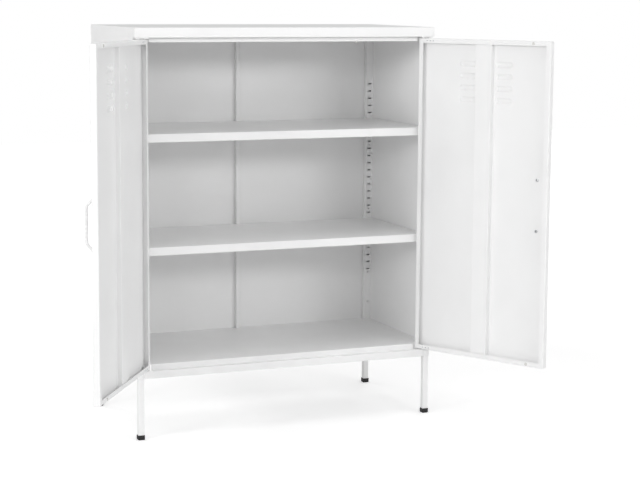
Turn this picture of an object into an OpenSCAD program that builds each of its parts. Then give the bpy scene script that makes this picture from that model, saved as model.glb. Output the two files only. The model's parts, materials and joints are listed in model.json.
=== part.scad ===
// Two-door steel storage cabinet on four legs, with two shelves that hang on slotted posts.
// +X is to the right as seen from the front, +Y towards the back and +Z up.
// The origin is on the ground under the middle of the body. All sizes are in millimetres.

/* [Body] */
// Overall width of the body
body_w = 800; // [640:10:1000]
// Overall depth of the body
body_d = 400; // [330:10:500]
// Overall height, from the ground to the top
body_h = 1015; // [840:5:1300]
// Height of the body's underside above the ground
leg_h = 154; // [110:1:200]
// Thickness of the panel sheet
panel_t = 0.8; // [0.6:0.1:1.2]
// Height of the folded edge round the top
top_edge_h = 24; // [20:1:36]
// Height of the rail between the legs
base_rail_h = 18; // [18:1:30]
// Height of the floor panel's front lip above the base rail
floor_lip_h = 14; // [8:1:24]
// Distance of the back panels from the rear edge of the top
back_recess = 10; // [8:1:16]

/* [Doors] */
// Thickness of a folded door
door_t = 16; // [15:1:20]
// Thickness of the door sheet
door_sheet_t = 0.9; // [0.7:0.1:1.2]
// Width of the door's folded-back edges at its two sides
door_return_w = 13; // [10:1:16]
// Width of the door's folded-back edges at the top and bottom
door_return_h = 12; // [10:1:15]
// Outer radius of the bends down the door's sides
door_bend_r = 2.4; // [1.6:0.2:3]
// Gap between the two closed doors
door_gap = 3; // [2:0.5:5]
// Distance of a closed door's hinge edge from the side of the body
door_side_inset = 2.5; // [2:0.5:4]
// Gap above a closed door
door_top_gap = 4; // [4:0.5:6]
// Gap below a closed door
door_bottom_gap = 2; // [2:0.5:4]
// Angle at which the left door stands open, in degrees
left_open = 123.5; // [0:0.5:180]
// Angle at which the right door stands open, in degrees
right_open = 118; // [0:0.5:180]

/* [Door stiffener] */
// Width of the raised face
stiffener_w = 48; // [30:1:60]
// Width of each foot flange
stiffener_foot_w = 6; // [4:1:10]
// Height of the raised face above the door sheet
stiffener_rise = 13; // [8:0.5:13]

/* [Door louvres] */
// Number of louvres in each column
louvre_rows = 4; // [1:1:8]
// Spacing of the louvres
louvre_pitch = 30; // [24:1:40]
// Distance of the highest louvre from the top of the door
louvre_from_top = 62; // [40:1:120]
// Length of a louvre
louvre_l = 47; // [30:1:60]
// Radius of the pressed form
louvre_r = 8; // [6:0.5:10]
// How far a louvre stands out of the door
louvre_rise = 5; // [3:0.5:6]
// Distance of a louvre's mouth from the stiffener's foot
louvre_inset = 3; // [2:1:12]

/* [Handles] */
// Distance between the two fixing screws
handle_span = 128; // [96:1:192]
// Length that each sloping leg takes up
handle_slope_l = 22; // [14:1:28]
// Distance of the grip's outer side from the door
handle_reach = 29; // [24:1:45]
// Diameter of the bar
handle_d = 8; // [6:0.5:12]
// Distance of the handle from the door's free edge
handle_inset = 39; // [25:1:60]

/* [Door pivots] */
// Distance of the pivot from the door's hinge edge
pivot_inset = 17; // [14:0.5:20]
// Distance of the pivot behind the door's outer face
pivot_back = 6; // [6:0.5:8]
// Diameter of the pivot pins
pivot_d = 6; // [4:0.5:6]
// Radial running clearance of a pin in its bush
pivot_clear = 0.06; // [0.02:0.01:0.1]
// Outer diameter of a bush
bush_d = 10; // [9:0.5:10]

/* [Posts and shelves] */
// Width of a post
post_w = 20; // [18:1:30]
// Thickness of the post sheet
post_t = 1.2; // [1:0.1:1.5]
// Depth of a front post
front_post_d = 15; // [12:1:25]
// Spacing of the shelf slots
slot_pitch = 20; // [16:1:32]
// Length of a shelf slot
slot_l = 10; // [8:0.5:14]
// Height of a shelf slot
slot_h = 3.5; // [3:0.5:5]
// Height of the lowest slot above the floor panel
slot_first = 145; // [60:1:200]
// Number of the slot that carries the lower shelf, counted from 0 at the bottom
lower_shelf_slot = 6; // [1:1:12]
// Number of the slot that carries the upper shelf
upper_shelf_slot = 20; // [14:1:20]
// Height of a shelf's folded edge
shelf_edge_h = 21; // [16:1:30]

/* [Legs] */
// Outer width of the square leg tube
leg_w = 15; // [12:1:16]
// Wall of the leg tube
leg_wall = 1.2; // [1:0.1:2]
// Wall of the socket that holds a leg
socket_wall = 1; // [0.8:0.1:1.4]
// Gap between a leg and its socket
socket_gap = 0.3; // [0.2:0.1:0.5]
// Height of a plastic foot
foot_h = 12; // [8:1:20]
// Diameter of a leg bolt's shank
leg_bolt_d = 6; // [4:1:6]
// Diameter of a leg bolt's head
leg_bolt_head_d = 13; // [10:1:13]

/* [Hidden] */
$fn = 48;

white = [0.95, 0.95, 0.95];
pale = [0.88, 0.88, 0.88];
black = [0.08, 0.08, 0.08];
zinc = [0.72, 0.72, 0.74];

// A little more than a wall, so that a cut passes right through it
over = 1;

// Heights of the body, from the ground up
floor_z = leg_h + base_rail_h + floor_lip_h;
base_top = leg_h + base_rail_h;
roof_z = body_h - panel_t;
edge_z = body_h - top_edge_h;

// The panels stand inside the top's folded edge
side_out = body_w / 2 - panel_t;
side_in = side_out - panel_t;
rear_out = body_d / 2 - panel_t;
rear_in = rear_out - panel_t;
front = -body_d / 2;
back_front = body_d / 2 - back_recess;

// The doors close in front of the body, between the top's edge and the base rail
door_hinge_x = body_w / 2 - door_side_inset;
door_w = door_hinge_x - door_gap / 2;
door_low = base_top + door_bottom_gap;
door_high = edge_z - door_top_gap;
door_mid = (door_low + door_high) / 2;
door_inside = front + door_t;
pivot_x = door_hinge_x - pivot_inset;
pivot_y = front + pivot_back;
swing_r = norm([pivot_inset, door_t - pivot_back]);
swing_gap = 1.2;

// What stands behind a door's hinge edge keeps clear of its swing
lip_gap = 1.4;
lip_y = door_inside + lip_gap;
lip_x = pivot_x - swing_r - swing_gap;
lip_hem = 12;
header_overlap = 8;
header_low = door_high - header_overlap;
post_front = pivot_y + swing_r + swing_gap;
post_x = side_in - post_w;
post_fit = 0.2;

// Rear posts stand proud of the back panels
rear_post_proud = 15;
rear_post_front = back_front - rear_post_proud;
side_return_lap = 2;
side_front_gap = 0.4;
side_front = lip_y + side_front_gap;
side_return_w = post_w + side_return_lap;

// Joint down the middle of the back
strip_w = 10;
strip_d = 13;
strip_wall = 1;
seam_half_gap = 0.3;

// Slots, with a round locating hole under every ninth
slot_z0 = floor_z + slot_first;
slot_top_margin = 160;
slot_count = floor((roof_z - slot_top_margin - slot_z0) / slot_pitch) + 1;
locating_every = 9;
upper_slot = min(upper_shelf_slot, slot_count - 1);
lower_slot = min(lower_shelf_slot, upper_slot - 2);
locating_d = 4;
locating_drop = 10;

// Shelves
shelf_rise = 4;
shelf_side_gap = 1.8;
shelf_front_gap = 1.5;
shelf_gap = 0.8;
shelf_half_w = side_in - shelf_side_gap;
shelf_front = post_front + shelf_front_gap;
shelf_back = min(back_front - strip_d, rear_post_front) - shelf_gap;
shelf_notch_x = post_x - shelf_gap;
shelf_notch_y = post_front + front_post_d + shelf_gap;
shelf_hem = 10;

// Clips
clip_w = 16;
clip_t = 1.2;
clip_drop = 7;
clip_ledge = 17;
clip_tab_w = slot_l - 1;
clip_hook_h = 5;
clip_hook_lap = 0.4;

// Legs and sockets
socket_w = leg_w + 2 * (socket_gap + socket_wall);
socket_top_gap = 2.5;
leg_top_gap = 1.5;
socket_top = base_top - socket_top_gap;
leg_x = side_out - socket_w / 2;
leg_front_y = front + socket_w / 2;
leg_rear_y = rear_out - socket_w / 2;
leg_top = socket_top - leg_top_gap;
leg_bolt_z = leg_h + base_rail_h * 0.4;
leg_bolt_head_h = 2.6;
bolt_hole_extra = 0.4;
leg_nut_af = 10;
leg_nut_h = 4;
foot_floor = 4;
foot_wall = 1.2;
foot_w = leg_w + 2 * foot_wall;
foot_step_h = 1.5;
foot_step_in = 1;
foot_step_w = foot_w - 2 * foot_step_in;
foot_fit = 0.1;

// Pivot brackets on the body
bracket_t = 2.5;
bracket_back_t = 2;
bracket_gap = 0.2;
bracket_w = 31.5;
bracket_side_gap = 2;
bracket_front_gap = 0.4;
bracket_x = side_in - bracket_side_gap - bracket_w;
bracket_front = front + panel_t + bracket_front_gap;
bracket_leg_h = 19;
top_screw_rises = [4, 14];
bottom_screw_rise = 8;
bracket_screw_d = 4;
bracket_screw_head_d = 7;
bracket_screw_head_h = 1.8;
bracket_screw_l = 8;

// Pivot parts on the doors
bush_flange_d = 12;
bush_flange_t = 1;
hinge_plate_t = 2;
hinge_plate_l = 44;
hinge_plate_inset = 6;
hinge_plate_front_gap = 1.2;
rivet_d = 2.4;
rivet_head_d = 3.6;
rivet_head_h = 0.8;
rivet_places = [26, 36, 45];
pin_in = 11;

// Stiffener, handle, screws and buffers
stiffener_end_gap = 0.3;
screw_d = 4;
screw_head_d = 8;
screw_head_h = 2.4;
screw_bite = 5;
handle_knuckle_d = handle_d * 1.15;
handle_foot_d = handle_d * 1.3;
handle_neck = 0.8;
handle_foot_step = 1.2;
handle_foot_l = handle_knuckle_d / 2 + handle_neck;
handle_foot_h = handle_foot_l - handle_foot_step;
handle_bar_cut = handle_d / 4;
buffer_d = 8;
buffer_t = 1.1;
buffer_inset = 50;
header_buffer_x = 190;
header_buffer_h = 3;
post_screw_rise = 51;

// A block between two opposite corners
module block(low, high) {
    translate(low) cube(high - low);
}

// The same part on the left and on the right
module both_sides() {
    children();
    mirror([1, 0, 0]) children();
}

module left_side() {
    mirror([1, 0, 0]) children();
}

// A door part, drawn closed on the right, swung open by an angle
module swung(angle) {
    translate([pivot_x, pivot_y, 0]) rotate([0, 0, angle]) translate([-pivot_x, -pivot_y, 0]) children();
}

// ---- Body ----

module top_panel() {
    color(white) difference() {
        block([-body_w / 2, front, edge_z], [body_w / 2, body_d / 2, body_h]);
        block([-side_out, front + panel_t, edge_z - over], [side_out, rear_out, roof_z]);
    }
}

// Folded strip behind the doors' upper edges, which the doors close against
module header_rail() {
    color(white) {
        block([-lip_x, lip_y, header_low], [lip_x, lip_y + panel_t, roof_z]);
        block([-lip_x, lip_y, header_low], [lip_x, lip_y + lip_hem, header_low + panel_t]);
        block([-lip_x, lip_y, roof_z - panel_t], [lip_x, lip_y + lip_hem, roof_z]);
    }
}

module side_panel() {
    color(white) {
        difference() {
            block([side_in, side_front, leg_h], [side_out, rear_out, roof_z]);
            block([side_in - over, rear_out - socket_w - post_fit, leg_h - over],
                  [side_out + over, rear_out + over, base_top]);
        }
        block([side_out - side_return_w, rear_in, base_top], [side_out, rear_out, roof_z]);
    }
}

// Shelf slots and locating holes through a face that lies across Y
module slot_row(y_low, y_high) {
    slot_x = side_in - post_w / 2;
    for (i = [0 : slot_count - 1]) {
        z = slot_z0 + i * slot_pitch;
        block([slot_x - slot_l / 2, y_low, z - slot_h / 2], [slot_x + slot_l / 2, y_high, z + slot_h / 2]);
        if (i % locating_every == 0)
            translate([slot_x, y_low, z - locating_drop]) rotate([-90, 0, 0])
                cylinder(d = locating_d, h = y_high - y_low);
    }
}

// A hole for a screw that lies along Y
module screw_hole_y(x, y_low, y_high, z, d) {
    translate([x, y_low, z]) rotate([-90, 0, 0]) cylinder(d = d, h = y_high - y_low);
}

module front_post() {
    back = post_front + front_post_d;
    color(pale) difference() {
        block([post_x, post_front, leg_h + panel_t], [side_in, back, roof_z]);
        block([post_x + post_t, post_front + post_t, leg_h], [side_in + over, back - post_t, body_h]);
        slot_row(back - post_t - over, back + over);
        for (z = bracket_screw_heights())
            screw_hole_y(bracket_screw_x(), post_front - over, post_front + post_t + over, z,
                         bracket_screw_d);
    }
}

module rear_post() {
    color(pale) difference() {
        block([post_x, rear_post_front, base_top], [side_in, rear_in, roof_z]);
        block([post_x + post_t, rear_post_front + post_t, base_top - over],
              [side_in + over, rear_in + over, body_h]);
        slot_row(rear_post_front - over, rear_post_front + post_t + over);
        screw_hole_y(side_in - post_w / 2, rear_post_front - over, rear_post_front + post_t + over,
                     floor_z + post_screw_rise, screw_d);
    }
}

module back_panel() {
    edge_x = post_x - post_fit;
    color(white) {
        block([seam_half_gap, back_front, base_top], [edge_x, back_front + panel_t, roof_z]);
        block([seam_half_gap, back_front - strip_d + 2 * strip_wall, floor_z],
              [seam_half_gap + panel_t, back_front, roof_z]);
        block([edge_x - panel_t, back_front, base_top], [edge_x, rear_in, roof_z]);
    }
}

// Channel that covers the two back panels' turned-up edges
module back_joint_strip() {
    color(white) difference() {
        block([-strip_w / 2, back_front - strip_d, floor_z], [strip_w / 2, back_front, roof_z]);
        block([-strip_w / 2 + strip_wall, back_front - strip_d + strip_wall, floor_z - over],
              [strip_w / 2 - strip_wall, back_front + over, body_h]);
    }
}

// Half of the floor panel's outline, which steps round the door's swing and the posts
function floor_outline() =
    let (notch_y = post_front - post_fit, post_back = post_front + front_post_d + post_fit,
         inner_x = post_x - post_fit, rear_y = rear_post_front - post_fit)
    [[0, lip_y], [lip_x, lip_y], [lip_x, notch_y], [inner_x, notch_y], [inner_x, post_back],
     [side_in, post_back], [side_in, rear_y], [inner_x, rear_y], [inner_x, back_front], [0, back_front]];

module floor_panel() {
    post_back = post_front + front_post_d + post_fit;
    color(white) both_sides() {
        translate([0, 0, floor_z - panel_t]) linear_extrude(panel_t) polygon(floor_outline());
        block([0, lip_y, base_top], [lip_x, lip_y + panel_t, floor_z]);
        block([side_in - panel_t, post_back, base_top], [side_in, rear_post_front - post_fit, floor_z]);
    }
}

// Rail between two legs: an upright band, a top flange that carries the floor and a bottom flange
module base_rail(outer_y, inward, flange_x, flange_y) {
    band_y = outer_y + inward * panel_t;
    color(white) both_sides() {
        block([0, min(outer_y, band_y), leg_h], [side_out - socket_w, max(outer_y, band_y), base_top]);
        block([0, min(outer_y, flange_y), base_top - panel_t], [flange_x, max(outer_y, flange_y), base_top]);
        block([0, min(outer_y, flange_y), leg_h], [flange_x, max(outer_y, flange_y), leg_h + panel_t]);
    }
}

module front_base_rail() {
    base_rail(front, 1, lip_x, lip_y + panel_t);
}

module rear_base_rail() {
    base_rail(rear_out, -1, side_out - socket_w, back_front);
}

// ---- Shelves ----

// Half of a shelf's outline, notched round the front post
function shelf_outline(inset) =
    [[0, shelf_front + inset], [shelf_notch_x - inset, shelf_front + inset],
     [shelf_notch_x - inset, shelf_notch_y + inset], [shelf_half_w - inset, shelf_notch_y + inset],
     [shelf_half_w - inset, shelf_back - inset], [0, shelf_back - inset]];

module shelf(slot) {
    low = slot_z0 + slot * slot_pitch + shelf_rise;
    high = low + shelf_edge_h;
    color(white) both_sides() {
        translate([0, 0, high - panel_t]) linear_extrude(panel_t) polygon(shelf_outline(0));
        translate([0, 0, low]) linear_extrude(shelf_edge_h) difference() {
            polygon(shelf_outline(0));
            translate([-over, 0]) polygon([for (p = shelf_outline(panel_t)) p + [p[0] == 0 ? 0 : over, 0]]);
        }
        block([0, shelf_front, low], [shelf_notch_x, shelf_front + shelf_hem, low + panel_t]);
        block([0, shelf_back - shelf_hem, low], [shelf_half_w, shelf_back, low + panel_t]);
    }
}

// Clip hooked into one slot: a plate, a ledge for the shelf and a tab that drops behind the slot
module shelf_clip(face_y, into_room, slot) {
    z = slot_z0 + slot * slot_pitch;
    x = side_in - post_w / 2;
    top = z + shelf_rise;
    translate([x, face_y, 0]) mirror([0, into_room > 0 ? 0 : 1, 0]) {
        block([-clip_w / 2, 0, z - clip_drop], [clip_w / 2, clip_t, top]);
        block([-clip_w / 2, 0, top - clip_t], [clip_w / 2, clip_ledge, top]);
        block([-clip_tab_w / 2, -post_t - clip_t, z - clip_t / 2], [clip_tab_w / 2, 0, z + clip_t / 2]);
        block([-clip_tab_w / 2, -post_t - 2 * clip_t, z - clip_hook_h],
              [clip_tab_w / 2, -post_t - clip_t + clip_hook_lap, z + clip_t / 2]);
    }
}

module shelf_clips(slot) {
    color(zinc) both_sides() {
        shelf_clip(post_front + front_post_d, 1, slot);
        shelf_clip(rear_post_front, -1, slot);
    }
}

// ---- Legs ----

module leg_socket(y) {
    color(white) translate([leg_x, y, 0]) difference() {
        block([-socket_w / 2, -socket_w / 2, leg_h], [socket_w / 2, socket_w / 2, socket_top]);
        block([-socket_w / 2 + socket_wall, -socket_w / 2 + socket_wall, leg_h - over],
              [socket_w / 2 - socket_wall, socket_w / 2 - socket_wall, socket_top + over]);
        screw_hole_y(0, -socket_w, socket_w, leg_bolt_z, leg_bolt_d + bolt_hole_extra);
    }
}

module leg(y) {
    color(white) translate([leg_x, y, 0]) difference() {
        block([-leg_w / 2, -leg_w / 2, foot_floor], [leg_w / 2, leg_w / 2, leg_top]);
        block([-leg_w / 2 + leg_wall, -leg_w / 2 + leg_wall, foot_floor - over],
              [leg_w / 2 - leg_wall, leg_w / 2 - leg_wall, leg_top + over]);
        screw_hole_y(0, -leg_w, leg_w, leg_bolt_z, leg_bolt_d + bolt_hole_extra);
    }
}

module foot(y) {
    hole = leg_w + 2 * foot_fit;
    color(black) translate([leg_x, y, 0]) difference() {
        union() {
            block([-foot_step_w / 2, -foot_step_w / 2, 0], [foot_step_w / 2, foot_step_w / 2, foot_h]);
            block([-foot_w / 2, -foot_w / 2, foot_step_h], [foot_w / 2, foot_w / 2, foot_h]);
        }
        block([-hole / 2, -hole / 2, foot_floor], [hole / 2, hole / 2, foot_h + over]);
    }
}

// Domed bolt through socket and leg; its head lies on the socket's outer face
module leg_bolt() {
    rotate([90, 0, 0]) {
        intersection() {
            cylinder(d = leg_bolt_head_d, h = leg_bolt_head_h);
            dome_r = (pow(leg_bolt_head_d / 2, 2) + pow(leg_bolt_head_h, 2)) / (2 * leg_bolt_head_h);
            translate([0, 0, leg_bolt_head_h - dome_r]) sphere(r = dome_r);
        }
        translate([0, 0, -socket_w - leg_nut_h]) cylinder(d = leg_bolt_d, h = socket_w + leg_nut_h);
    }
}

module leg_bolts() {
    color(white) both_sides() {
        translate([leg_x, front, leg_bolt_z]) leg_bolt();
        translate([leg_x, rear_out, leg_bolt_z]) mirror([0, 1, 0]) leg_bolt();
    }
}

module leg_nut() {
    rotate([-90, 0, 0]) difference() {
        cylinder(d = leg_nut_af / cos(30), h = leg_nut_h, $fn = 6);
        translate([0, 0, -over]) cylinder(d = leg_bolt_d, h = leg_nut_h + 2 * over);
    }
}

module leg_nuts() {
    color(zinc) both_sides() {
        translate([leg_x, front + socket_w, leg_bolt_z]) leg_nut();
        translate([leg_x, rear_out - socket_w, leg_bolt_z]) mirror([0, 1, 0]) leg_nut();
    }
}

// ---- Fasteners and pivots on the body ----

// A pan-head screw along Y, its head towards -Y
module pan_screw(d, head_d, head_h, l) {
    rotate([90, 0, 0]) cylinder(d = head_d, h = head_h);
    rotate([-90, 0, 0]) cylinder(d = d, h = l);
}

module post_screws() {
    color(white) both_sides()
        translate([side_in - post_w / 2, rear_post_front, floor_z + post_screw_rise])
            pan_screw(screw_d, screw_head_d, screw_head_h, rear_in - rear_post_front);
}

function bracket_screw_x() = side_in - post_w / 2;

// Two screws up the leg of the top bracket, one in the leg of the bottom bracket
function bracket_screw_heights() =
    [edge_z + top_screw_rises[0], edge_z + top_screw_rises[1], leg_h + bottom_screw_rise];

// Pivot bracket: a plate that carries the pin and a leg screwed to the post
module bracket(plate_z, leg_low, leg_high, screw_heights) {
    color(white) difference() {
        union() {
            block([bracket_x, bracket_front, plate_z],
                  [bracket_x + bracket_w, post_front, plate_z + bracket_t]);
            block([post_x, post_front - bracket_back_t, leg_low],
                  [bracket_x + bracket_w, post_front, leg_high]);
        }
        translate([pivot_x, pivot_y, plate_z - over]) cylinder(d = pivot_d, h = bracket_t + 2 * over);
        for (z = screw_heights)
            screw_hole_y(bracket_screw_x(), post_front - bracket_back_t - over, post_front + over, z,
                         bracket_screw_d);
    }
}

top_plate_z = door_high + bush_flange_t + bracket_gap;
bottom_plate_z = door_low - bush_flange_t - bracket_gap - bracket_t;

module top_bracket() {
    bracket(top_plate_z, top_plate_z, min(top_plate_z + bracket_leg_h + bracket_t, roof_z),
            [bracket_screw_heights()[0], bracket_screw_heights()[1]]);
}

module bottom_bracket() {
    bracket(bottom_plate_z, leg_h + panel_t, bottom_plate_z + bracket_t, [bracket_screw_heights()[2]]);
}

module bracket_screws() {
    color(zinc) both_sides() for (z = bracket_screw_heights())
        translate([bracket_screw_x(), post_front - bracket_back_t, z])
            pan_screw(bracket_screw_d, bracket_screw_head_d, bracket_screw_head_h, bracket_screw_l);
}

module pivot_pins() {
    color(zinc) both_sides() translate([pivot_x, pivot_y, 0]) {
        translate([0, 0, door_high - pin_in])
            cylinder(d = pivot_d, h = top_plate_z + bracket_t - door_high + pin_in);
        translate([0, 0, bottom_plate_z]) cylinder(d = pivot_d, h = door_low + pin_in - bottom_plate_z);
    }
}

// Small domed buffer under the header rail
module header_buffer() {
    color(pale) translate([header_buffer_x, lip_y + lip_hem / 2, header_low]) intersection() {
        mirror([0, 0, 1]) cylinder(d = buffer_d, h = header_buffer_h);
        translate([0, 0, 1]) sphere(r = header_buffer_h + 1);
    }
}

// ---- Doors, drawn closed on the right ----

// Outline of a door in plan: sheet, side walls and folded-back edges, with round outer bends
module door_plan() {
    left = door_gap / 2;
    right = door_hinge_x;
    r = door_bend_r;
    difference() {
        union() {
            translate([left + r, front]) square([right - left - 2 * r, door_t]);
            translate([left, front + r]) square([right - left, door_t - 2 * r]);
            for (x = [left + r, right - r], y = [front + r, door_inside - r]) translate([x, y]) circle(r = r);
        }
        translate([left + door_sheet_t, front + door_sheet_t])
            square([right - left - 2 * door_sheet_t, door_t - 2 * door_sheet_t]);
        translate([left + door_return_w, door_inside - door_sheet_t - over])
            square([right - left - 2 * door_return_w, door_sheet_t + 2 * over]);
    }
}

// One end of the door, across its width: the end wall and its folded-back edge
module door_end(z, into_door) {
    wall = z + into_door * door_sheet_t;
    edge = z + into_door * door_return_h;
    left = door_gap / 2 + door_bend_r;
    right = door_hinge_x - door_bend_r;
    block([left, front, min(z, wall)], [right, door_inside, max(z, wall)]);
    block([left, door_inside - door_sheet_t, min(z, edge)], [right, door_inside, max(z, edge)]);
}

// The form of a pressed louvre: a round bar with a ball end, whose axis lies behind the door's face
module louvre_form(r, mouth_l) {
    straight = louvre_l - louvre_r;
    rotate([0, 90, 0]) translate([0, 0, -mouth_l]) cylinder(r = r, h = straight + mouth_l);
    translate([straight, 0, 0]) sphere(r = r);
}

module at_louvres() {
    middle = door_gap / 2 + door_w / 2;
    mouth = stiffener_w / 2 + stiffener_foot_w + louvre_inset;
    for (row = [0 : louvre_rows - 1], way = [0, 1])
        translate([middle, front - louvre_rise + louvre_r, door_high - louvre_from_top - row * louvre_pitch])
            mirror([way, 0, 0]) translate([mouth, 0, 0]) children();
}

module door_panel() {
    color(white) difference() {
        union() {
            translate([0, 0, door_low]) linear_extrude(door_high - door_low) door_plan();
            door_end(door_low, 1);
            door_end(door_high, -1);
            intersection() {
                at_louvres() louvre_form(louvre_r, 0);
                block([0, front - louvre_rise - over, door_low],
                      [door_hinge_x, front + door_sheet_t / 2, door_high]);
            }
        }
        at_louvres() louvre_form(louvre_r - door_sheet_t, over);
        for (z = [door_low - over, door_high - door_sheet_t - over])
            translate([pivot_x, pivot_y, z]) cylinder(d = bush_d, h = door_sheet_t + 2 * over);
        at_rivets() translate([0, 0, -over]) cylinder(d = rivet_d, h = door_sheet_t + 2 * over);
        at_handle_screws() translate([0, 0, -over]) cylinder(d = screw_d, h = door_sheet_t + 2 * over);
    }
}

// Places of the rivets in the folded-back edges, each drawn along +Z from inside the edge outwards
module at_rivets() {
    for (inset = rivet_places, z = [door_low + door_return_h / 2, door_high - door_return_h / 2])
        translate([door_hinge_x - inset, door_inside - door_sheet_t, z]) rotate([-90, 0, 0]) children();
}

// Places of the handle's screws, each drawn along +Z from the door's outer face inwards
module at_handle_screws() {
    for (z = [door_mid - handle_span / 2, door_mid + handle_span / 2])
        translate([door_gap / 2 + handle_inset, front, z]) rotate([-90, 0, 0]) children();
}

// Hat-section stiffener welded down the middle of the door
module stiffener() {
    middle = door_gap / 2 + door_w / 2;
    foot_y = front + door_sheet_t;
    half = stiffener_w / 2;
    low = door_low + door_sheet_t + stiffener_end_gap;
    high = door_high - door_sheet_t - stiffener_end_gap;
    color(white) translate([middle, foot_y, 0]) {
        difference() {
            block([-half, 0, low], [half, stiffener_rise, high]);
            block([-half + panel_t, -over, low - over],
                  [half - panel_t, stiffener_rise - panel_t, high + over]);
        }
        for (way = [0, 1]) mirror([way, 0, 0])
            block([half - panel_t, 0, low], [half + stiffener_foot_w, panel_t, high]);
    }
}

// A straight round bar between two points in a plane of constant x, cut a little short at both ends
module bar(from, to, d, cut) {
    way = to - from;
    translate(from) rotate([-atan2(way[1], way[2]), 0, 0]) translate([0, 0, cut])
        cylinder(d = d, h = norm(way) - 2 * cut);
}

// Bow handle: two feet, two sloping legs and a straight grip, with a knuckle at each bend
module handle() {
    x = door_gap / 2 + handle_inset;
    grip_y = front - handle_reach + handle_knuckle_d / 2;
    grip_half = handle_span / 2 - handle_slope_l;
    bend_y = front - handle_foot_l;
    color(white) difference() {
        union() {
            bar([x, grip_y, door_mid - grip_half], [x, grip_y, door_mid + grip_half],
                handle_d, handle_bar_cut);
            for (way = [-1, 1]) {
                foot_z = door_mid + way * handle_span / 2;
                grip_z = door_mid + way * grip_half;
                translate([x, front, foot_z]) rotate([90, 0, 0])
                    cylinder(d = handle_foot_d, h = handle_foot_h);
                translate([x, bend_y, foot_z]) sphere(d = handle_knuckle_d);
                translate([x, grip_y, grip_z]) sphere(d = handle_knuckle_d);
                bar([x, bend_y, foot_z], [x, grip_y, grip_z], handle_d, handle_bar_cut);
            }
        }
        at_handle_screws() mirror([0, 0, 1]) translate([0, 0, -over])
            cylinder(d = screw_d, h = screw_bite + over);
    }
}

module handle_screws() {
    color(zinc) at_handle_screws() {
        translate([0, 0, -screw_bite]) cylinder(d = screw_d, h = screw_bite + door_sheet_t);
        translate([0, 0, door_sheet_t]) cylinder(d = screw_head_d, h = screw_head_h);
    }
}

// Angle inside the door's end that stiffens it round the pivot
module hinge_plate(z, into_door) {
    near = z + into_door * door_sheet_t;
    far = near + into_door * hinge_plate_t;
    tip = z + into_door * door_return_h;
    right = door_hinge_x - hinge_plate_inset;
    inside = door_inside - door_sheet_t;
    difference() {
        union() {
            block([right - hinge_plate_l, front + hinge_plate_front_gap, min(near, far)],
                  [right, inside, max(near, far)]);
            block([right - hinge_plate_l, inside - hinge_plate_t, min(near, tip)],
                  [right, inside, max(near, tip)]);
        }
        translate([pivot_x, pivot_y, min(near, far) - over])
            cylinder(d = bush_d, h = hinge_plate_t + 2 * over);
        at_rivets() translate([0, 0, -hinge_plate_t - over])
            cylinder(d = rivet_d, h = hinge_plate_t + 2 * over);
    }
}

module hinge_plates() {
    color(white) {
        hinge_plate(door_low, 1);
        hinge_plate(door_high, -1);
    }
}

module hinge_rivets() {
    tail_h = 0.6;
    color(zinc) at_rivets() {
        translate([0, 0, -hinge_plate_t]) cylinder(d = rivet_d, h = hinge_plate_t + door_sheet_t);
        translate([0, 0, door_sheet_t]) cylinder(d = rivet_head_d, h = rivet_head_h);
        translate([0, 0, -hinge_plate_t - tail_h]) cylinder(d = rivet_head_d, h = tail_h);
    }
}

// Flanged bush drawn upwards from the door's end, its flange below
module bush() {
    difference() {
        union() {
            cylinder(d = bush_d, h = door_sheet_t + hinge_plate_t);
            translate([0, 0, -bush_flange_t]) cylinder(d = bush_flange_d, h = bush_flange_t);
        }
        translate([0, 0, -bush_flange_t - over])
            cylinder(d = pivot_d + 2 * pivot_clear,
                     h = bush_flange_t + door_sheet_t + hinge_plate_t + 2 * over);
    }
}

module bushes() {
    color(black) translate([pivot_x, pivot_y, 0]) {
        translate([0, 0, door_low]) bush();
        translate([0, 0, door_high]) mirror([0, 0, 1]) bush();
    }
}

// Small round pads that meet the header rail and the floor panel's lip
module door_buffers() {
    color(pale) for (z = [door_low + door_return_h / 2, door_high - door_return_h / 2])
        translate([door_gap / 2 + buffer_inset, door_inside, z]) rotate([-90, 0, 0])
            cylinder(d = buffer_d, h = buffer_t);
}

// ---- The nodes: each shared shape on its own side ----

module left_side_panel() { left_side() side_panel(); }
module right_side_panel() { side_panel(); }
module front_left_post() { left_side() front_post(); }
module front_right_post() { front_post(); }
module rear_left_post() { left_side() rear_post(); }
module rear_right_post() { rear_post(); }
module left_back_panel() { left_side() back_panel(); }
module right_back_panel() { back_panel(); }
module upper_shelf() { shelf(upper_slot); }
module lower_shelf() { shelf(lower_slot); }
module upper_shelf_clips() { shelf_clips(upper_slot); }
module lower_shelf_clips() { shelf_clips(lower_slot); }
module front_left_socket() { left_side() leg_socket(leg_front_y); }
module front_right_socket() { leg_socket(leg_front_y); }
module rear_left_socket() { left_side() leg_socket(leg_rear_y); }
module rear_right_socket() { leg_socket(leg_rear_y); }
module front_left_leg() { left_side() leg(leg_front_y); }
module front_right_leg() { leg(leg_front_y); }
module rear_left_leg() { left_side() leg(leg_rear_y); }
module rear_right_leg() { leg(leg_rear_y); }
module front_left_foot() { left_side() foot(leg_front_y); }
module front_right_foot() { foot(leg_front_y); }
module rear_left_foot() { left_side() foot(leg_rear_y); }
module rear_right_foot() { foot(leg_rear_y); }
module top_left_bracket() { left_side() top_bracket(); }
module bottom_left_bracket() { left_side() bottom_bracket(); }
module top_right_bracket() { top_bracket(); }
module bottom_right_bracket() { bottom_bracket(); }

// ---- The doors' nodes, each door swung open to its own angle ----

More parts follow.
